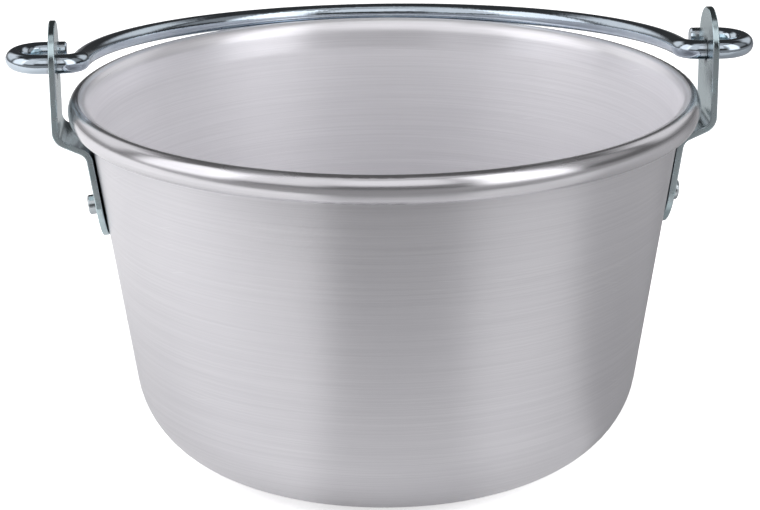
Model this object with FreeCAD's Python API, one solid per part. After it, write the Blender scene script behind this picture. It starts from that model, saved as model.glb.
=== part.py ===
"""Brew kettle: an open spun-aluminium pot with two riveted strap ears and a swinging rod bail.

Millimetres, +Z up. The origin is the centre of the pot's underside. The ears stand on +X and -X, and
the bail is folded back, so that its crown lies over the rim on the +Y side.
"""
import FreeCAD, Part
import math
import os

# ---------------------------------------------------------------- driving dimensions
# Pot: one spun sheet.
RIM_RADIUS = 148.0            # outermost radius, on the rolled rim
KETTLE_HEIGHT = 177.0         # underside to the top of the rolled rim
SHEET = 2.0                   # thickness of the pot's sheet
WALL_TAPER = 8.3              # degrees between the straight wall and the vertical
BASE_CORNER_RADIUS = 45.0     # outside radius of the round corner between base and wall
LIP_RADIUS = 10.0             # inside radius where the wall starts to turn outward
CROWN_RADIUS = 4.2            # outside radius over the top of the rolled rim
SIDE_RADIUS = 8.0             # outside radius of the rolled rim's flatter outer side
TUCK_RADIUS = 5.0             # outside radius under the rolled rim
LIP_END = 50.0                # heading at which the lip turns into the crown, degrees above level
SIDE_START = -55.0            # headings at which the crown turns into the side, and the side into
SIDE_END = -125.0             # the tuck, degrees (0 is outward, -90 is down)
TUCK_END = -215.0             # heading at which the sheet is cut off, just short of the wall

# Ears: bent flat strap with round ends, the same on both sides.
STRAP = 3.0                   # thickness
STRAP_WIDTH = 36.0
STRAP_BEND = 5.0              # inside radius of its bends
STRAP_EDGE_ROUND = 0.6        # rounding of its long edges
UPRIGHT_INNER = 152.0         # distance from the pot's axis to the upright's inner face
EAR_TOP = 35.0                # height of the upright's end above the rim
PIVOT_HEIGHT = 14.6           # height of the bail's axis above the rim
KNEE_DROP = 16.8              # where the upright turns inward, below the rim
PALM_TOP_DROP = 23.5          # where the strap reaches the wall, below the rim
PALM_END_DROP = 68.2          # the palm's lower end, below the rim
RIVET_DROP = 53.0             # the rivet, below the rim

# Rivets: one through each palm and the wall behind it.
RIVET_SHANK_RADIUS = 3.0
RIVET_HEAD_RADIUS = 4.7
RIVET_HEAD_HEIGHT = 4.8
RIVET_HEAD_ROUND = 1.0        # rounding of the head's outer edge
RIVET_TAIL_RADIUS = 5.5
RIVET_TAIL_HEIGHT = 1.6
RIVET_TAIL_ROUND = 0.8

# Bail: one bent round rod with a hook through each ear.
ROD_RADIUS = 4.5
ARCH_HALF_WIDTH = 142.0       # centreline of the arch, half an ellipse
ARCH_DEPTH = 151.2            # from the pivot's line out to the arch's crown
ELBOW_RADIUS = 10.0           # centreline of the bend from the arch into the hole
HOOK_START = 159.5            # where the straight stretch through the ear ends, from the pot's axis
HOOK_RADIUS = 13.0            # centreline of the hook's return bend
HOOK_END = 149.0              # the rod's cut end, from the pot's axis
HOOK_TILT = 5.0               # degrees the hooks stand above the arch's plane
HOLE_CLEARANCE = 0.75         # radial play of the rod in the ear's hole
CROWN_GAP = 0.6                # play between the folded bail and the rim at the crown
ROD_END_CHAMFER = 0.7

# ---------------------------------------------------------------- derived dimensions
PIVOT_Z = KETTLE_HEIGHT + PIVOT_HEIGHT


def polar(radius, degrees):
    """Point at a radius and angle, as (first, second) plane coordinates."""
    angle = math.radians(degrees)
    return radius * math.cos(angle), radius * math.sin(angle)


def in_xz(point):
    """A plane point (x, z) as a vector with y = 0."""
    return FreeCAD.Vector(point[0], 0, point[1])


# ---------------------------------------------------------------- a bent sheet's section
def walk(start, heading, moves, offset):
    """Edges of one face of a sheet, followed in the XZ plane.

    moves are ("line", length) and ("arc", radius, new heading); start, lengths and radii belong to
    the followed face, and the edges are those of the face that lies offset to its right.
    """
    edges = []
    x, z = start
    for move in moves:
        shift_x, shift_z = polar(offset, heading - 90)
        begin = (x + shift_x, z + shift_z)
        if move[0] == "line":
            step_x, step_z = polar(move[1], heading)
            x, z = x + step_x, z + step_z
            edges.append(Part.LineSegment(in_xz(begin), in_xz((x + shift_x, z + shift_z))).toShape())
            continue
        radius, new_heading = move[1], move[2]
        side = 1 if new_heading > heading else -1
        centre_x, centre_z = polar(radius, heading + 90 * side)
        centre = (x + centre_x, z + centre_z)
        points = []
        for angle in ((heading + new_heading) / 2, new_heading):
            out_x, out_z = polar(radius + offset * side, angle - 90 * side)
            points.append((centre[0] + out_x, centre[1] + out_z))
        edges.append(Part.Arc(in_xz(begin), in_xz(points[0]), in_xz(points[1])).toShape())
        end_x, end_z = polar(radius, new_heading - 90 * side)
        x, z = centre[0] + end_x, centre[1] + end_z
        heading = new_heading
    return edges


def sheet_section(start, heading, moves, thickness):
    """Face between the followed side of a sheet and the side that lies to its right."""
    near = walk(start, heading, moves, 0)
    far = walk(start, heading, moves, thickness)
    first = Part.LineSegment(near[0].Vertexes[0].Point, far[0].Vertexes[0].Point).toShape()
    last = Part.LineSegment(near[-1].Vertexes[-1].Point, far[-1].Vertexes[-1].Point).toShape()
    edges = near + [last] + far + [first]
    return Part.Face(Part.Wire(Part.__sortEdges__(edges)))


# ---------------------------------------------------------------- the pot
def rim_moves():
    """The sheet's turns from the top of the wall to its cut end under the roll."""
    return [
        ("arc", LIP_RADIUS, LIP_END),
        ("arc", CROWN_RADIUS, SIDE_START),
        ("arc", SIDE_RADIUS, SIDE_END),
        ("arc", TUCK_RADIUS, TUCK_END),
    ]


def turn(radius, before, after):
    """Travel (x, z) of a right-hand turn of a radius between two headings."""
    a, b = math.radians(before), math.radians(after)
    return radius * (math.sin(a) - math.sin(b)), radius * (math.cos(b) - math.cos(a))


def lip_start():
    """Inside point at which the straight wall ends, set by the rim's radius and the pot's height."""
    wall = 90 - WALL_TAPER
    lip = turn(LIP_RADIUS, wall, LIP_END)
    to_top = turn(CROWN_RADIUS, LIP_END, 0)
    top_to_side = turn(CROWN_RADIUS, 0, SIDE_START)
    side = turn(SIDE_RADIUS, SIDE_START, -90)
    x = RIM_RADIUS - side[0] - top_to_side[0] - to_top[0] - lip[0]
    z = KETTLE_HEIGHT - to_top[1] - lip[1]
    return x, z


def wall_radius(z):
    """Outside radius of the straight wall, or of its extension, at a height."""
    x0, z0 = lip_start()
    taper = math.radians(WALL_TAPER)
    return x0 + SHEET / math.cos(taper) + (z - z0) * math.tan(taper)


def base_flat_radius():
    """Radius of the flat base: where the corner arc that touches the wall meets the ground."""
    taper = math.radians(WALL_TAPER)
    centre_z = BASE_CORNER_RADIUS
    return wall_radius(centre_z) - BASE_CORNER_RADIUS / math.cos(taper)


def kettle_body():
    """The spun pot, with the rivet holes through its wall."""
    flat = base_flat_radius()
    corner = BASE_CORNER_RADIUS - SHEET
    taper = math.radians(WALL_TAPER)
    wall_start_z = BASE_CORNER_RADIUS - corner * math.sin(taper)
    wall_length = (lip_start()[1] - wall_start_z) / math.cos(taper)
    moves = [
        ("line", flat),
        ("arc", corner, 90 - WALL_TAPER),
        ("line", wall_length),
    ] + rim_moves()
    section = sheet_section((0, SHEET), 0, moves, SHEET)
    pot = section.revolve(FreeCAD.Vector(0, 0, 0), FreeCAD.Vector(0, 0, 1), 360)
    for side in (1, -1):
        pot = pot.cut(along_rivet(RIVET_SHANK_RADIUS, -3 * SHEET, STRAP, side))
    return pot


# ---------------------------------------------------------------- the ears
def along_rivet(radius, start, end, side):
    """Cylinder on a rivet's axis, from start to end, measured outward from the wall's outside."""
    taper = math.radians(WALL_TAPER)
    outward = FreeCAD.Vector(math.cos(taper), 0, -math.sin(taper))
    seat_z = KETTLE_HEIGHT - RIVET_DROP
    seat = FreeCAD.Vector(wall_radius(seat_z), 0, seat_z)
    shape = Part.makeCylinder(radius, end - start, seat + outward * start, outward)
    return to_side(shape, side)


def to_side(shape, side):
    """A shape made for the +X side, turned about the pot's axis to the -X side if side is -1."""
    if side == 1:
        return shape
    turned = shape.copy()
    turned.rotate(FreeCAD.Vector(0, 0, 0), FreeCAD.Vector(0, 0, 1), 180)
    return turned


def strip(length):
    """Strip in the YZ plane, as wide as the strap, its lower end a half circle about the origin."""
    half = STRAP_WIDTH / 2
    left, right = FreeCAD.Vector(0, -half, 0), FreeCAD.Vector(0, half, 0)
    top_left, top_right = FreeCAD.Vector(0, -half, length), FreeCAD.Vector(0, half, length)
    edges = [
        Part.Arc(left, FreeCAD.Vector(0, 0, -half), right).toShape(),
        Part.LineSegment(right, top_right).toShape(),
        Part.LineSegment(top_right, top_left).toShape(),
        Part.LineSegment(top_left, left).toShape(),
    ]
    return Part.Face(Part.Wire(edges))


def ear_knees():
    """Corners of the strap's inner face, from the palm's end to the top of the upright."""
    end_z = KETTLE_HEIGHT - PALM_END_DROP
    palm_z = KETTLE_HEIGHT - PALM_TOP_DROP
    return [
        (wall_radius(end_z), end_z),
        (wall_radius(palm_z), palm_z),
        (UPRIGHT_INNER, KETTLE_HEIGHT - KNEE_DROP),
        (UPRIGHT_INNER, KETTLE_HEIGHT + EAR_TOP),
    ]


def ear_section():
    """The strap's bent section: palm, sloping web and upright."""
    knees = ear_knees()
    headings = []
    for low, high in zip(knees, knees[1:]):
        headings.append(math.degrees(math.atan2(high[1] - low[1], high[0] - low[0])))
    lengths = [math.dist(low, high) for low, high in zip(knees, knees[1:])]
    palm_turn = headings[0] - headings[1]
    upright_turn = headings[2] - headings[1]
    palm_cut = (STRAP_BEND + STRAP) * math.tan(math.radians(palm_turn) / 2)
    upright_cut = STRAP_BEND * math.tan(math.radians(upright_turn) / 2)
    moves = [
        ("line", lengths[0] - palm_cut),
        ("arc", STRAP_BEND + STRAP, headings[1]),
        ("line", lengths[1] - palm_cut - upright_cut),
        ("arc", STRAP_BEND, headings[2]),
        ("line", lengths[2] - upright_cut),
    ]
    return sheet_section(knees[0], headings[0], moves, STRAP)


def upright_keeper():
    """Space that the ear keeps, seen along X: everything below the upright's round top."""
    outline = strip(KETTLE_HEIGHT + EAR_TOP)
    outline.rotate(FreeCAD.Vector(0, 0, 0), FreeCAD.Vector(1, 0, 0), 180)
    outline.translate(FreeCAD.Vector(0, 0, KETTLE_HEIGHT + EAR_TOP - STRAP_WIDTH / 2))
    return outline.extrude(FreeCAD.Vector(UPRIGHT_INNER + 2 * STRAP, 0, 0))


def palm_keeper():
    """Space that the ear keeps, seen square to the wall: everything above the palm's round end."""
    taper = math.radians(WALL_TAPER)
    centre_z = KETTLE_HEIGHT - PALM_END_DROP + STRAP_WIDTH / 2 * math.cos(taper)
    depth = 4 * STRAP_WIDTH
    keeper = strip(KETTLE_HEIGHT).extrude(FreeCAD.Vector(depth, 0, 0))
    keeper.translate(FreeCAD.Vector(-depth / 2, 0, 0))
    keeper.rotate(FreeCAD.Vector(0, 0, 0), FreeCAD.Vector(0, 1, 0), WALL_TAPER)
    keeper.translate(FreeCAD.Vector(wall_radius(centre_z), 0, centre_z))
    return keeper


def ear(side):
    """One ear: the bent strap with round ends, the bail's hole and the rivet's hole."""
    section = ear_section()
    section.translate(FreeCAD.Vector(0, -STRAP_WIDTH / 2, 0))
    strap = section.extrude(FreeCAD.Vector(0, STRAP_WIDTH, 0))
    strap = strap.common(upright_keeper()).common(palm_keeper())
    strap = strap.makeFillet(STRAP_EDGE_ROUND, strap.Edges)
    reach = 2 * STRAP
    hole = Part.makeCylinder(
        ROD_RADIUS + HOLE_CLEARANCE,
        STRAP + 2 * reach,
        FreeCAD.Vector(UPRIGHT_INNER - reach, 0, PIVOT_Z),
        FreeCAD.Vector(1, 0, 0),
    )
    strap = to_side(strap.cut(hole), side)
    return strap.cut(along_rivet(RIVET_SHANK_RADIUS, -SHEET, 2 * STRAP, side))


# ---------------------------------------------------------------- the rivets
def rivet(side):
    """One rivet: a tall flat head outside, a shank, and a low closed head inside the pot."""
    outer_face = STRAP
    inner_face = -SHEET
    head_end = outer_face + RIVET_HEAD_HEIGHT
    tail_end = inner_face - RIVET_TAIL_HEIGHT
    head = along_rivet(RIVET_HEAD_RADIUS, outer_face, head_end, 1)
    head = round_far_edge(head, RIVET_HEAD_ROUND, 1)
    tail = along_rivet(RIVET_TAIL_RADIUS, tail_end, inner_face, 1)
    tail = round_far_edge(tail, RIVET_TAIL_ROUND, -1)
    shank = along_rivet(RIVET_SHANK_RADIUS, inner_face, outer_face, 1)
    whole = to_side(head.fuse([shank, tail]).removeSplitter(), side)
    return whole.cut(kettle_body())


def round_far_edge(cylinder, radius, direction):
    """Round the rim at a cylinder's outer end (direction 1) or inner end (direction -1)."""
    circles = [edge for edge in cylinder.Edges if len(edge.Vertexes) == 1]
    circles.sort(key=lambda edge: direction * edge.BoundBox.Center.x)
    return cylinder.makeFillet(radius, [circles[-1]])


# ---------------------------------------------------------------- the bail
def fold_angle():
    """Degrees the arch's plane dips below level when its crown lies on the rim.

    The crown's rod touches the rolled rim's crown, so the rod's centre is the sum of the two radii
    from that arc's centre, and ARCH_DEPTH from the pivot.
    """
    to_side = turn(CROWN_RADIUS, 0, SIDE_START)[0] + turn(SIDE_RADIUS, SIDE_START, -90)[0]
    centre_y = RIM_RADIUS - to_side
    centre_z = KETTLE_HEIGHT - CROWN_RADIUS
    apart = CROWN_RADIUS + ROD_RADIUS + CROWN_GAP
    drop = PIVOT_Z - centre_z
    distance = math.hypot(centre_y, drop)
    dip = math.atan2(drop, centre_y)
    cosine = (distance ** 2 + ARCH_DEPTH ** 2 - apart ** 2) / (2 * distance * ARCH_DEPTH)
    return math.degrees(dip - math.acos(cosine))


def elbow():
    """Where an elbow's circle touches the arch and the pivot's line.

    Returns its centre's place along the pivot, and two angles in degrees at the touching point: the
    ellipse's own angle there, and the direction of its outward normal.
    """
    angle = 0.0
    for _ in range(20):
        steepness = math.hypot(ARCH_DEPTH * math.cos(angle), ARCH_HALF_WIDTH * math.sin(angle))
        lift = ARCH_DEPTH + ELBOW_RADIUS * ARCH_HALF_WIDTH / steepness
        angle = math.asin(ELBOW_RADIUS / lift)
    centre_x = math.cos(angle) * (ARCH_HALF_WIDTH + ELBOW_RADIUS * ARCH_DEPTH / steepness)
    normal = math.atan2(ARCH_HALF_WIDTH * math.sin(angle), ARCH_DEPTH * math.cos(angle))
    return centre_x, math.degrees(angle), math.degrees(normal)


def bail_point(x, out, tilt):
    """Point of the bail: x along the pivot, out from it, in a plane tilted above the level."""
    y, z = polar(out, tilt)
    return FreeCAD.Vector(x, y, PIVOT_Z + z)


def arc_in_plane(centre, radius, angles, tilt, side):
    """Arc of the bail's path through three angles about a centre (x, out); side mirrors it in x."""
    points = []
    for angle in angles:
        step_x, step_out = polar(radius, angle)
        points.append(bail_point(side * (centre[0] + step_x), centre[1] + step_out, tilt))
    return Part.Arc(*points).toShape()


def bail_side(side):
    """Edges of half the bail's path, from the arch's elbow to the rod's cut end."""
    arch_tilt = -fold_angle()
    hook_tilt = arch_tilt + HOOK_TILT
    elbow_x, _, lean = elbow()
    elbow_angles = (180 + lean, 225 + lean / 2, 270)
    across = 2 * HOOK_RADIUS
    return [
        arc_in_plane((elbow_x, ELBOW_RADIUS), ELBOW_RADIUS, elbow_angles, arch_tilt, side),
        Part.LineSegment(
            bail_point(side * elbow_x, 0, 0), bail_point(side * HOOK_START, 0, 0)
        ).toShape(),
        arc_in_plane((HOOK_START, HOOK_RADIUS), HOOK_RADIUS, (-90, 0, 90), hook_tilt, side),
        Part.LineSegment(
            bail_point(side * HOOK_START, across, hook_tilt),
            bail_point(side * HOOK_END, across, hook_tilt),
        ).toShape(),
    ]


def bail_path():
    """The bail's centreline from one cut end to the other."""
    tilt = -fold_angle()
    crown = bail_point(0, ARCH_DEPTH, tilt)
    ellipse = Part.Ellipse(crown, bail_point(ARCH_HALF_WIDTH, 0, tilt), bail_point(0, 0, tilt))
    half_turn = math.radians(90 - elbow()[1])
    arch = Part.ArcOfEllipse(ellipse, -half_turn, half_turn).toShape()
    edges = bail_side(-1)[::-1] + [arch] + bail_side(1)
    return Part.Wire(edges)


def bail():
    """The rod swept along its path, with its two cut ends chamfered."""
    path = bail_path()
    start = bail_side(-1)[-1].Vertexes[-1].Point
    circle = Part.Wire(Part.Circle(start, FreeCAD.Vector(1, 0, 0), ROD_RADIUS).toShape())
    rod = path.makePipeShell([circle], True, True)
    ends = [edge for edge in rod.Edges if abs(abs(edge.BoundBox.Center.x) - HOOK_END) < 0.01]
    return rod.makeChamfer(ROD_END_CHAMFER, ends)


# ---------------------------------------------------------------- export
def main():
    os.makedirs("parts", exist_ok=True)
    nodes = {
        "kettle_body": kettle_body(),
        "left_ear": ear(-1),
        "right_ear": ear(1),
        "left_rivet": rivet(-1),
        "right_rivet": rivet(1),
        "bail": bail(),
    }
    for name, shape in nodes.items():
        solid = shape.Solids[0]
        print(name, "solids", len(shape.Solids), "valid", shape.isValid(), "mm3", round(solid.Volume))
        solid.exportStep("parts/" + name + ".step")
    rod = math.pi * ROD_RADIUS ** 2 * bail_path().Length
    crown = bail_point(0, ARCH_DEPTH, -fold_angle())
    print("base flat radius", round(base_flat_radius(), 1), "fold angle", round(fold_angle(), 2))
    print("clear mouth radius", round(lip_start()[0], 1), "bail crown at", crown)
    print("rod section times length", round(rod), "mm3")


main()
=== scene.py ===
import math

import bpy
from mathutils import Matrix, Vector


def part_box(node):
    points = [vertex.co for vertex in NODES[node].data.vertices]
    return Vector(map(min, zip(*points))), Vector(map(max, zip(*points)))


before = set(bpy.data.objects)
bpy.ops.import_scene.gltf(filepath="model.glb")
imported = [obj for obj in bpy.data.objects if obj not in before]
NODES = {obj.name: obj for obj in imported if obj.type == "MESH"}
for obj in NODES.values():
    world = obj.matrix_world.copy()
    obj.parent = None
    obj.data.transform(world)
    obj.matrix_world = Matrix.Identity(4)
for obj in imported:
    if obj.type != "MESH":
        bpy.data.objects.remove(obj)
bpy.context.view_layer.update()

SCENE = bpy.context.scene

# ---------------------------------------------------------------- measures, in metres
POT_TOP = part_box("kettle_body")[1].z
RIM_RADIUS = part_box("kettle_body")[1].x
STRAP_THICKNESS = 0.003
STRAP_HALF_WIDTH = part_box("right_ear")[1].y
EAR_MIDDLE_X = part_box("right_ear")[1].x - STRAP_THICKNESS / 2
PIVOT_HEIGHT = 0.1916
HOLE_RADIUS = 0.00525
BAIL_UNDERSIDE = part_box("bail")[0].z
BAIL_REST_X = 0.060  # where the folded bail lies on the rim, either side of the middle

# ---------------------------------------------------------------- camera
CAMERA_DISTANCE = 1.2
CAMERA_ELEVATION = math.radians(18.79)
CAMERA_AZIMUTH = math.radians(-3.6)
CAMERA_ROLL = -0.0072
CLIP_START = 0.01
FOCAL_LENGTH = 118.16
SENSOR_WIDTH = 36.0
LENS_SHIFT = (-0.0074, 0.0139)


def add_camera():
    """Camera at the photograph's viewing angle, aimed at the middle of the pot's height."""
    data = bpy.data.cameras.new("camera")
    camera = bpy.data.objects.new("camera", data)
    SCENE.collection.objects.link(camera)
    level = math.cos(CAMERA_ELEVATION)
    back = Vector((
        math.sin(CAMERA_AZIMUTH) * level,
        -math.cos(CAMERA_AZIMUTH) * level,
        math.sin(CAMERA_ELEVATION),
    ))
    right = Vector((math.cos(CAMERA_AZIMUTH), math.sin(CAMERA_AZIMUTH), 0))
    axes = Matrix((right, back.cross(right), back)).transposed()
    axes = axes @ Matrix.Rotation(CAMERA_ROLL, 3, "Z")
    place = Matrix.Translation(Vector((0, 0, POT_TOP / 2)) + CAMERA_DISTANCE * back)
    camera.matrix_world = place @ axes.to_4x4()
    data.sensor_width = SENSOR_WIDTH
    data.lens = FOCAL_LENGTH
    data.shift_x, data.shift_y = LENS_SHIFT
    data.clip_start = CLIP_START
    SCENE.camera = camera


add_camera()


# ---------------------------------------------------------------- node helpers
class Graph:
    """Adds and links shader nodes in one tree."""

    def __init__(self, tree):
        self.tree = tree
        self.tree.nodes.clear()

    def add(self, kind, inputs=None, **settings):
        node = self.tree.nodes.new(kind)
        for name, value in settings.items():
            setattr(node, name, value)
        for key, value in (inputs or {}).items():
            self.put(node.inputs[key], value)
        return node

    def put(self, socket, value):
        if isinstance(value, bpy.types.NodeSocket):
            self.tree.links.new(value, socket)
        else:
            socket.default_value = value

    def math(self, operation, first, second=0.0, clamp=False):
        inputs = {0: first, 1: second}
        node = self.add("ShaderNodeMath", inputs, operation=operation, use_clamp=clamp)
        return node.outputs[0]

    def length(self, first, second):
        """Length of the two values taken as sides of a right angle."""
        squares = self.math("MULTIPLY", first, first), self.math("MULTIPLY", second, second)
        return self.math("SQRT", self.math("ADD", *squares))

    def vector_math(self, operation, first, second):
        inputs = {0: first, 1: second}
        return self.add("ShaderNodeVectorMath", inputs, operation=operation).outputs[0]

    def split(self, vector):
        return self.add("ShaderNodeSeparateXYZ", {0: vector}).outputs

    def join(self, x, y, z):
        return self.add("ShaderNodeCombineXYZ", {0: x, 1: y, 2: z}).outputs[0]

    def turn(self, vector, angle, axis):
        """The vector turned about one axis through the origin."""
        inputs = {"Vector": vector, "Angle": angle}
        return self.add("ShaderNodeVectorRotate", inputs, rotation_type=axis).outputs[0]

    def step(self, value, low, high, low_out=0.0, high_out=1.0):
        """Smooth ramp from low_out at low to high_out at high."""
        inputs = {
            "Value": value,
            "From Min": low,
            "From Max": high,
            "To Min": low_out,
            "To Max": high_out,
        }
        settings = {"interpolation_type": "SMOOTHSTEP", "clamp": True}
        return self.add("ShaderNodeMapRange", inputs, **settings).outputs[0]

    def near(self, value, centre, far, close):
        """1 where the value is within close of the centre, fading to 0 at far."""
        off = self.math("ABSOLUTE", self.math("SUBTRACT", value, centre))
        return self.step(off, far, close)

    def noise(self, vector, scale, detail=2.0, roughness=0.5):
        inputs = {"Vector": vector, "Scale": scale, "Detail": detail, "Roughness": roughness}
        return self.add("ShaderNodeTexNoise", inputs, noise_dimensions="3D").outputs[0]

    def mix(self, factor, first, second):
        node = self.add("ShaderNodeMix", {0: factor}, data_type="RGBA", blend_type="MIX")
        self.put(node.inputs[6], first)
        self.put(node.inputs[7], second)
        return node.outputs[2]

    def bump(self, height, strength, distance, normal=None):
        inputs = {"Height": height, "Strength": strength, "Distance": distance}
        if normal is not None:
            inputs["Normal"] = normal
        return self.add("ShaderNodeBump", inputs).outputs[0]

    def vary(self, value, pattern, amount, middle=0.5):
        """The value plus the pattern's distance from its middle, times the amount."""
        swing = self.math("MULTIPLY", self.math("SUBTRACT", pattern, middle), amount)
        return self.math("ADD", value, swing)


def new_material(name):
    material = bpy.data.materials.new(name)
    material.use_nodes = True
    return material, Graph(material.node_tree)


def dress(node_name, material):
    """Give every slot of a CAD node the material."""
    node = NODES[node_name]
    for slot in node.material_slots:
        slot.link = "OBJECT"
        slot.material = material


# ---------------------------------------------------------------- rolled rim
# The rim's section is three arcs that run into each other: lip, crown and side.
LIP_RADIUS = 0.010
CROWN_RADIUS = 0.0042
SIDE_RADIUS = 0.008
LIP_TO_CROWN = math.radians(140)
CROWN_TO_SIDE = math.radians(35)
LIP_START = math.radians(171.7)
SKIN_TOLERANCE = 0.0006  # how far a point may be off an arc and still count as on it


def rim_normal(g, radius, height, outward, mesh_normal):
    """True normal on the rolled rim's outer skin, and the mesh's own normal elsewhere."""
    side_out = RIM_RADIUS - SIDE_RADIUS
    crown_up = POT_TOP - CROWN_RADIUS
    side_gap = SIDE_RADIUS - CROWN_RADIUS
    side_up = crown_up - side_gap * math.sin(CROWN_TO_SIDE)
    crown_out = side_out + side_gap * math.cos(CROWN_TO_SIDE)
    lip_gap = LIP_RADIUS - CROWN_RADIUS
    lip_out = crown_out - lip_gap * math.cos(LIP_TO_CROWN)
    lip_up = crown_up - lip_gap * math.sin(LIP_TO_CROWN)
    side_edge = side_out + SIDE_RADIUS * math.cos(CROWN_TO_SIDE)
    lip_edge = crown_out + CROWN_RADIUS * math.cos(LIP_TO_CROWN)
    lip_floor = lip_up + LIP_RADIUS * math.sin(LIP_START)

    def arc(centre_out, centre_up, arc_radius, inner, outer, floor):
        """The arc's normal in its plane, and 1 where the surface lies on it."""
        out = g.math("SUBTRACT", radius, centre_out)
        up = g.math("SUBTRACT", height, centre_up)
        away = g.length(out, up)
        off = g.math("ABSOLUTE", g.math("SUBTRACT", away, arc_radius))
        here = g.math("LESS_THAN", off, SKIN_TOLERANCE)
        for test, value, limit in (
            ("GREATER_THAN", radius, inner),
            ("LESS_THAN", radius, outer),
            ("GREATER_THAN", height, floor),
        ):
            here = g.math("MULTIPLY", here, g.math(test, value, limit))
        return g.math("DIVIDE", out, away), g.math("DIVIDE", up, away), here

    arcs = [
        arc(lip_out, lip_up, LIP_RADIUS, 0.0, lip_edge, lip_floor),
        arc(crown_out, crown_up, CROWN_RADIUS, lip_edge, side_edge, crown_up),
        arc(side_out, side_up, SIDE_RADIUS, side_edge, 1.0, 0.0),
    ]
    normal = mesh_normal
    for out, up, here in arcs:
        scaled = {0: outward, "Scale": out}
        level = g.add("ShaderNodeVectorMath", scaled, operation="SCALE").outputs[0]
        true = g.vector_math("ADD", level, g.join(0.0, 0.0, up))
        true = g.add("ShaderNodeVectorTransform", {0: true}, vector_type="NORMAL",
                     convert_from="OBJECT", convert_to="WORLD").outputs[0]
        blend = {0: here, 4: normal, 5: true}
        normal = g.add("ShaderNodeMix", blend, data_type="VECTOR").outputs[1]
    return normal


# ---------------------------------------------------------------- spun aluminium
ALUMINIUM_DARK = (0.735, 0.725, 0.75, 1)
ALUMINIUM_LIGHT = (0.83, 0.82, 0.845, 1)
ALUMINIUM_CLOUD = (0.72, 0.715, 0.75, 1)
ALUMINIUM_WORN = (0.52, 0.52, 0.54, 1)
ALUMINIUM_SCRATCH = (0.93, 0.93, 0.95, 1)
CLOUD_TINT, WORN_TINT, SCRATCH_TINT = 0.25, 0.5, 0.35

# Brushing: noise cells per metre round the pot, cells per metre along its wall, detail.
FINE_RINGS = (14.0, 2600.0, 4.0)
MEDIUM_RINGS = (9.0, 700.0, 3.0)
BROAD_RINGS = (3.0, 110.0, 2.0)
RING_ROUGHNESS = 0.6
# scale, detail, roughness of the noise
CLOUD_NOISE = (16.0, 3.0, 0.55)

SCRATCH_TILT = 0.35
SCRATCH_STRETCH = (45.0, 45.0, 1500.0)
SCRATCH_NOISE = (1.0, 1.0, 0.4)
PATCH_NOISE = (26.0, 1.0)
SCRATCH_DEPTH = 0.5

# Noise values at which a pattern starts to show and at which it is full.
SCRATCH_RAMP = (0.69, 0.73)
PATCH_RAMP = (0.52, 0.66)
TONE_RAMP = (0.3, 0.7)
CLOUD_RAMP = (0.35, 0.75)
WORN_RAMP = (0.35, 0.6)
# How far the surface faces outward at which the inside starts and at which it is full.
INSIDE_RAMP = (0.15, -0.15)
# Shares of the fine and the medium rings.
TONE_SHARES = (0.5, 0.5)
HEIGHT_SHARES = (0.35, 0.65)

OUTSIDE_ROUGH, INSIDE_EXTRA_ROUGH = 0.37, 0.2
OUTSIDE_METALLIC, INSIDE_LESS_METALLIC = 0.95, 0.3
RING_ROUGH, CLOUD_ROUGH, WORN_EXTRA_ROUGH = 0.35, 0.08, 0.18
RIM_POLISH, RIM_CALM = 0.45, 0.75
BRUSHED_ANISOTROPY, BRUSHED_TURN = 0.6, 0.25

# Depths below the pot's top where the rim's polish starts and where it is full.
RIM_FADE = (0.0165, 0.0125)
# Distances at which a mark fades out and at which it is full.
REST_FADE_ON_RIM = (0.020, 0.006)
REST_DEPTH_ON_RIM = (0.0030, 0.0008)
BASE_SCUFF_FADE = (0.0025, 0.0005)

# strength, distance
BRUSHED_BUMP = (0.18, 0.00035)
BROAD_BUMP = (0.10, 0.0012)


def pot_scratches(g, place, lathe):
    """Short handling scratches, thin and mostly level, in patches."""
    tilted = g.turn(lathe, SCRATCH_TILT, "X_AXIS")
    threads = g.noise(g.vector_math("MULTIPLY", tilted, SCRATCH_STRETCH), *SCRATCH_NOISE)
    patches = g.step(g.noise(place, *PATCH_NOISE), *PATCH_RAMP)
    return g.math("MULTIPLY", g.step(threads, *SCRATCH_RAMP), patches)


def pot_wear(g, x, z, fine, cloudy):
    """Dulled where the folded bail rests on the rim, and where the base is slid about."""
    rest_spot = g.near(g.math("ABSOLUTE", x), BAIL_REST_X, *REST_FADE_ON_RIM)
    low, high = REST_DEPTH_ON_RIM
    rest_spot = g.math("MULTIPLY", rest_spot, g.step(z, POT_TOP - low, POT_TOP - high))
    scuffed = g.step(cloudy, *WORN_RAMP)
    base_scuff = g.math("MULTIPLY", g.step(z, *BASE_SCUFF_FADE), scuffed)
    rubbed = g.math("MULTIPLY", rest_spot, g.step(fine, *WORN_RAMP))
    return g.math("MAXIMUM", rubbed, base_scuff)


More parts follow.
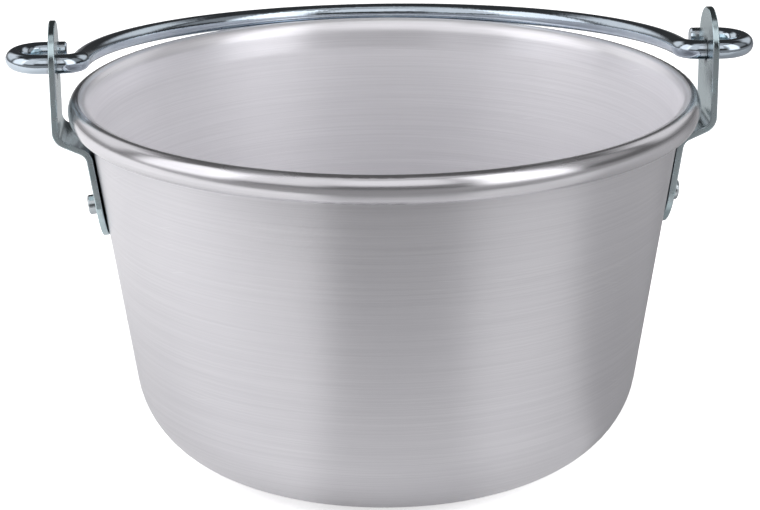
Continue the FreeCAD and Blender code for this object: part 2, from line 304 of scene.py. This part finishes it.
def aluminium():
    """Brushed outside, satin inside, with a burnished rolled rim."""
    material, g = new_material("spun_aluminium")
    place = g.add("ShaderNodeTexCoord").outputs["Object"]
    x, y, z = g.split(place)
    radius = g.length(x, y)
    lathe = g.join(x, y, g.math("ADD", radius, z))

    def rings(round_scale, along_scale, detail):
        stretch = (round_scale, round_scale, along_scale)
        stretched = g.vector_math("MULTIPLY", lathe, stretch)
        return g.noise(stretched, 1.0, detail, RING_ROUGHNESS)

    def shared(shares):
        parts = zip((fine, medium), shares)
        return g.math("ADD", *(g.math("MULTIPLY", ring, share) for ring, share in parts))

    fine = rings(*FINE_RINGS)
    medium = rings(*MEDIUM_RINGS)
    broad = rings(*BROAD_RINGS)
    cloudy = g.noise(place, *CLOUD_NOISE)

    normal = g.add("ShaderNodeNewGeometry").outputs["Normal"]
    outward = g.vector_math("NORMALIZE", g.join(x, y, 0.0), (0, 0, 0))
    facing = g.add("ShaderNodeVectorMath", {0: normal, 1: outward}, operation="DOT_PRODUCT")
    inside = g.step(facing.outputs["Value"], *INSIDE_RAMP)
    rim = g.step(z, POT_TOP - RIM_FADE[0], POT_TOP - RIM_FADE[1])
    scratch = pot_scratches(g, place, lathe)
    worn = pot_wear(g, x, z, fine, cloudy)

    tone = shared(TONE_SHARES)
    colour = g.mix(g.step(tone, *TONE_RAMP), ALUMINIUM_DARK, ALUMINIUM_LIGHT)
    cloud_mask = g.math("MULTIPLY", g.step(cloudy, *CLOUD_RAMP), CLOUD_TINT)
    colour = g.mix(cloud_mask, colour, ALUMINIUM_CLOUD)
    colour = g.mix(g.math("MULTIPLY", worn, WORN_TINT), colour, ALUMINIUM_WORN)
    colour = g.mix(g.math("MULTIPLY", scratch, SCRATCH_TINT), colour, ALUMINIUM_SCRATCH)

    metallic_loss = g.math("MULTIPLY", inside, INSIDE_LESS_METALLIC)
    metallic = g.math("SUBTRACT", OUTSIDE_METALLIC, metallic_loss)
    rough = g.math("ADD", OUTSIDE_ROUGH, g.math("MULTIPLY", inside, INSIDE_EXTRA_ROUGH))
    rough = g.vary(rough, tone, RING_ROUGH)
    rough = g.vary(rough, cloudy, CLOUD_ROUGH)
    unpolished = g.math("SUBTRACT", 1.0, g.math("MULTIPLY", rim, RIM_POLISH))
    rough = g.math("MULTIPLY", rough, unpolished)
    rough = g.math("ADD", rough, g.math("MULTIPLY", worn, WORN_EXTRA_ROUGH))

    height = shared(HEIGHT_SHARES)
    height = g.math("SUBTRACT", height, g.math("MULTIPLY", scratch, SCRATCH_DEPTH))
    calm = g.math("SUBTRACT", 1.0, g.math("MULTIPLY", rim, RIM_CALM))
    bumped = rim_normal(g, radius, z, outward, normal)
    for pattern, (strength, distance) in ((height, BRUSHED_BUMP), (broad, BROAD_BUMP)):
        bumped = g.bump(pattern, g.math("MULTIPLY", calm, strength), distance, bumped)

    tangent = g.add("ShaderNodeTangent", direction_type="RADIAL", axis="Z").outputs[0]
    shader = g.add("ShaderNodeBsdfPrincipled", {
        "Base Color": colour,
        "Metallic": metallic,
        "Roughness": rough,
        "Normal": bumped,
        "Anisotropic": BRUSHED_ANISOTROPY,
        "Anisotropic Rotation": BRUSHED_TURN,
        "Tangent": tangent,
    })
    g.add("ShaderNodeOutputMaterial", {"Surface": shader.outputs[0]})
    return material


# ---------------------------------------------------------------- plated steel
STEEL_WORN = (0.40, 0.41, 0.42, 1)
STEEL_WORN_TINT, STEEL_WORN_ROUGH = 0.65, 0.16
LINE_SCALE_ACROSS, LINE_SCALE_ALONG = 260.0, 22.0
# scale, detail, roughness of the noise
LINE_NOISE = (6.0, 3.0, 0.6)
SPOT_NOISE = (180.0, 4.0, 0.6)
STEEL_CLOUD_NOISE = (38.0, 3.0, 0.55)
STEEL_TONE_RAMP = (0.3, 0.7)
STEEL_CLOUD_MIDDLE = 0.45
STEEL_WORN_RAMP = (0.36, 0.56)
SPOT_BUMP = (0.10, 0.0004)
LINE_BUMP = (0.05, 0.0002)

# Distances at which a mark fades out and at which it is full.
STRAP_EDGE_FADE = (0.0009, 0.0002)
HOLE_RING_FADE = (0.0032, 0.0006)
ROD_PIVOT_FADE = (0.0042, 0.0022)
REST_FADE_ON_ROD = (0.018, 0.006)
ROD_UNDER_FADE = (0.0025, 0.0008)
STRAP_EDGE_AMOUNT = 0.7


def plated(name, light, dark, base_rough, mottle, draw_axis, wear=None):
    """Bright zinc plate over steel, with faint drawing lines along one axis.

    wear(g, x, y, z) gives a mask that is 1 where the plate is rubbed.
    """
    material, g = new_material(name)
    place = g.add("ShaderNodeTexCoord").outputs["Object"]
    stretch = [LINE_SCALE_ACROSS] * 3
    stretch[draw_axis] = LINE_SCALE_ALONG
    lines = g.noise(g.vector_math("MULTIPLY", place, tuple(stretch)), *LINE_NOISE)
    spots = g.noise(place, *SPOT_NOISE)
    clouds = g.noise(place, *STEEL_CLOUD_NOISE)
    colour = g.mix(g.step(clouds, *STEEL_TONE_RAMP), dark, light)
    rough = g.vary(base_rough, clouds, mottle, STEEL_CLOUD_MIDDLE)
    spot_rough = g.math("MULTIPLY", g.math("SUBTRACT", spots, 0.5), mottle)
    rough = g.math("ADD", rough, spot_rough, clamp=True)
    if wear:
        worn_spots = g.step(spots, *STEEL_WORN_RAMP)
        rubbed = g.math("MULTIPLY", wear(g, *g.split(place)), worn_spots)
        colour = g.mix(g.math("MULTIPLY", rubbed, STEEL_WORN_TINT), colour, STEEL_WORN)
        rough = g.math("ADD", rough, g.math("MULTIPLY", rubbed, STEEL_WORN_ROUGH))
    bumped = g.bump(spots, *SPOT_BUMP)
    bumped = g.bump(lines, *LINE_BUMP, bumped)
    shader = g.add("ShaderNodeBsdfPrincipled", {
        "Base Color": colour,
        "Metallic": 1.0,
        "Roughness": rough,
        "Normal": bumped,
    })
    g.add("ShaderNodeOutputMaterial", {"Surface": shader.outputs[0]})
    return material


def strap_wear(g, _x, y, z):
    """Sheared long edges, and a ring round the pivot hole where the rod turns."""
    far, close = STRAP_EDGE_FADE
    edge = g.step(g.math("ABSOLUTE", y), STRAP_HALF_WIDTH - far, STRAP_HALF_WIDTH - close)
    from_hole = g.length(y, g.math("SUBTRACT", z, PIVOT_HEIGHT))
    far, close = HOLE_RING_FADE
    ring = g.step(from_hole, HOLE_RADIUS + far, HOLE_RADIUS + close)
    return g.math("MAXIMUM", g.math("MULTIPLY", edge, STRAP_EDGE_AMOUNT), ring)


def rod_wear(g, x, _y, z):
    """Bands where the rod turns in the ears' holes and where it rests on the rim."""
    across = g.math("ABSOLUTE", x)
    pivot = g.near(across, EAR_MIDDLE_X, *ROD_PIVOT_FADE)
    rest = g.near(across, BAIL_REST_X, *REST_FADE_ON_ROD)
    far, close = ROD_UNDER_FADE
    under = g.step(z, BAIL_UNDERSIDE + far, BAIL_UNDERSIDE + close)
    return g.math("MAXIMUM", pivot, g.math("MULTIPLY", rest, under))


X_AXIS, Z_AXIS = 0, 2
# light tint, dark tint, roughness, mottling, axis of the drawing lines
STRAP_FINISH = ((0.64, 0.77, 0.80, 1), (0.53, 0.65, 0.68, 1), 0.17, 0.18, Z_AXIS)
RIVET_FINISH = ((0.68, 0.73, 0.75, 1), (0.53, 0.58, 0.61, 1), 0.22, 0.20, Z_AXIS)
ROD_FINISH = ((0.66, 0.75, 0.82, 1), (0.57, 0.65, 0.73, 1), 0.09, 0.10, X_AXIS)

dress("kettle_body", aluminium())
strap = plated("plated_strap", *STRAP_FINISH, strap_wear)
rivet = plated("rivet_steel", *RIVET_FINISH)
for side in ("left", "right"):
    dress(side + "_ear", strap)
    dress(side + "_rivet", rivet)
dress("bail", plated("plated_rod", *ROD_FINISH, rod_wear))

# ---------------------------------------------------------------- stage and light
# Azimuths are in degrees, 0 on the camera's side and positive towards +X.
SKY_BASE = 0.04
SKY_TINT = (0.985, 0.98, 1.0, 1)
SKY_SEEN_STRENGTH = 1.05
# azimuth, elevation, half width, half height, softness, strength
SOFTBOXES = [
    (-132, 24, 22, 18, 8, 0.80),
    (-80, 26, 20, 27, 6, 1.25),
    (-45, 38, 20, 28, 6, 0.80),
    (0, 42, 24, 20, 6, 0.90),
    (48, 30, 18, 30, 6, 1.60),
    (82, 36, 18, 20, 6, 0.25),
    (130, 26, 20, 16, 8, 0.70),
    (0, 80, 90, 14, 8, 0.55),
    (0, -45, 180, 45, 6, 0.24),
]
# Painted glow on the floor, which lights the pot and shows in its reflections.
# azimuth, half width, strength near the pot, strength further off
FLOOR_GLOW = [
    (-85, 62, 0.40, 0.58),
    (0, 23, 0.24, 0.0),
    (45, 22, 0.34, 0.32),
    (95, 28, 0.10, 0.10),
    (180, 40, 0.06, 0.22),
]
FLOOR_GLOW_SOFT = 8
FLOOR_GLOW_NEAR, FLOOR_GLOW_FAR = 0.16, 0.34
FLOOR_RADIUS = 1.6
FLOOR_CENTRE_Y = 1.25
FLOOR_SIDES = 96
FLOOR_DROP = 0.0002
PAPER_DARK = (0.93, 0.93, 0.93, 1)
PAPER_LIGHT = (0.96, 0.96, 0.96, 1)
PAPER_GRAIN = (40.0, 3.0)
PAPER_ROUGH, PAPER_GLOW = 0.7, 0.5
BOUNCE_COLOUR = (0.26, 0.26, 0.265, 1)
PAINTED_GLOW_TINT = (1, 0.995, 1, 1)
BOUNCE_ROUGH = 0.9
WHITE = (1, 1, 1, 1)
# name, place, size across and up, power in watts
LAMPS = [
    ("key_left", (-1.0, 0.1, 0.8), (1.2, 1.0), 16),
    ("fill_right", (1.0, -0.6, 0.8), (0.6, 1.1), 15),
]
LAMP_TARGET = (0, 0, 0.1)


def azimuth_band(g, direction, azimuth, half_width, soft):
    """1 within half_width of the azimuth, with soft edges, and the direction's height."""
    x, y, z = g.split(g.turn(direction, math.radians(-azimuth), "Z_AXIS"))
    across = g.math("ABSOLUTE", g.math("ARCTAN2", x, g.math("MULTIPLY", y, -1.0)))
    band = g.step(across, math.radians(half_width + soft), math.radians(half_width - soft))
    return band, z


def softbox(g, direction, azimuth, elevation, half_width, half_height, soft, strength):
    """Brightness of a soft-edged box of light on the sky."""
    wide, z = azimuth_band(g, direction, azimuth, half_width, soft)
    far, close = math.radians(half_height + soft), math.radians(half_height - soft)
    tall = g.near(g.math("ARCSINE", z), math.radians(elevation), far, close)
    return g.math("MULTIPLY", g.math("MULTIPLY", wide, tall), strength)


def add_world():
    """White for the camera; for the object, soft boxes of light in a dim room."""
    world = bpy.data.worlds.new("studio")
    SCENE.world = world
    world.use_nodes = True
    g = Graph(world.node_tree)
    direction = g.add("ShaderNodeTexCoord").outputs["Generated"]
    total = SKY_BASE
    for box in SOFTBOXES:
        total = g.math("ADD", total, softbox(g, direction, *box))
    white = {"Color": WHITE, "Strength": SKY_SEEN_STRENGTH}
    seen = g.add("ShaderNodeBackground", white).outputs[0]
    light = g.add("ShaderNodeBackground", {"Color": SKY_TINT, "Strength": total}).outputs[0]
    camera_ray = g.add("ShaderNodeLightPath").outputs["Is Camera Ray"]
    both = g.add("ShaderNodeMixShader", {0: camera_ray, 1: light, 2: seen}).outputs[0]
    g.add("ShaderNodeOutputWorld", {"Surface": both})


def add_lamp(name, place, size, power):
    """Area lamp that lights the matt part of a surface and isn't mirrored in its gloss."""
    data = bpy.data.lights.new(name, "AREA")
    data.shape = "RECTANGLE"
    data.size, data.size_y = size
    data.energy = power
    lamp = bpy.data.objects.new(name, data)
    SCENE.collection.objects.link(lamp)
    lamp.location = place
    lamp.visible_glossy = False
    aim = Vector(LAMP_TARGET) - Vector(place)
    lamp.rotation_euler = aim.to_track_quat("-Z", "Y").to_euler()


def floor_glow(g, place):
    """Painted glow of the floor towards the pot, by direction and distance from it, standing
    in for the lamp light the floor gives back.
    """
    away = g.add("ShaderNodeVectorMath", {0: place}, operation="LENGTH").outputs["Value"]
    total = 0.0
    for azimuth, half_width, near, far in FLOOR_GLOW:
        band, _ = azimuth_band(g, place, azimuth, half_width, FLOOR_GLOW_SOFT)
        strength = g.step(away, FLOOR_GLOW_NEAR, FLOOR_GLOW_FAR, near, far)
        total = g.math("ADD", total, g.math("MULTIPLY", band, strength))
    return total


def add_floor():
    """Pale floor that ends a little in front of the pot, out of the camera's view.

    It looks brighter to the camera than the light it gives the pot.
    """
    mesh = bpy.data.meshes.new("floor")
    edge = []
    for i in range(FLOOR_SIDES):
        angle = 2 * math.pi * i / FLOOR_SIDES
        x = FLOOR_RADIUS * math.cos(angle)
        y = FLOOR_CENTRE_Y + FLOOR_RADIUS * math.sin(angle)
        edge.append((x, y, -FLOOR_DROP))
    mesh.from_pydata(edge, [], [list(range(FLOOR_SIDES))])
    floor = bpy.data.objects.new("floor", mesh)
    SCENE.collection.objects.link(floor)
    material, g = new_material("floor_paper")
    place = g.add("ShaderNodeTexCoord").outputs["Object"]
    grain = g.noise(place, *PAPER_GRAIN)
    shown = g.add("ShaderNodeBsdfPrincipled", {
        "Base Color": g.mix(grain, PAPER_DARK, PAPER_LIGHT),
        "Roughness": PAPER_ROUGH,
        "Emission Color": WHITE,
        "Emission Strength": PAPER_GLOW,
    }).outputs[0]
    # What the pot sees of the floor: dim paper plus a painted glow standing in for lamp
    # light the floor gives back.
    bounced_with_painted_glow = g.add("ShaderNodeBsdfPrincipled", {
        "Base Color": BOUNCE_COLOUR,
        "Roughness": BOUNCE_ROUGH,
        "Emission Color": PAINTED_GLOW_TINT,
        "Emission Strength": floor_glow(g, place),
    }).outputs[0]
    camera_ray = g.add("ShaderNodeLightPath").outputs["Is Camera Ray"]
    both = g.add("ShaderNodeMixShader", {0: camera_ray, 1: bounced_with_painted_glow, 2: shown}).outputs[0]
    g.add("ShaderNodeOutputMaterial", {"Surface": both})
    mesh.materials.append(material)


add_world()
for lamp in LAMPS:
    add_lamp(*lamp)
add_floor()
SCENE.view_settings.view_transform = "Standard"
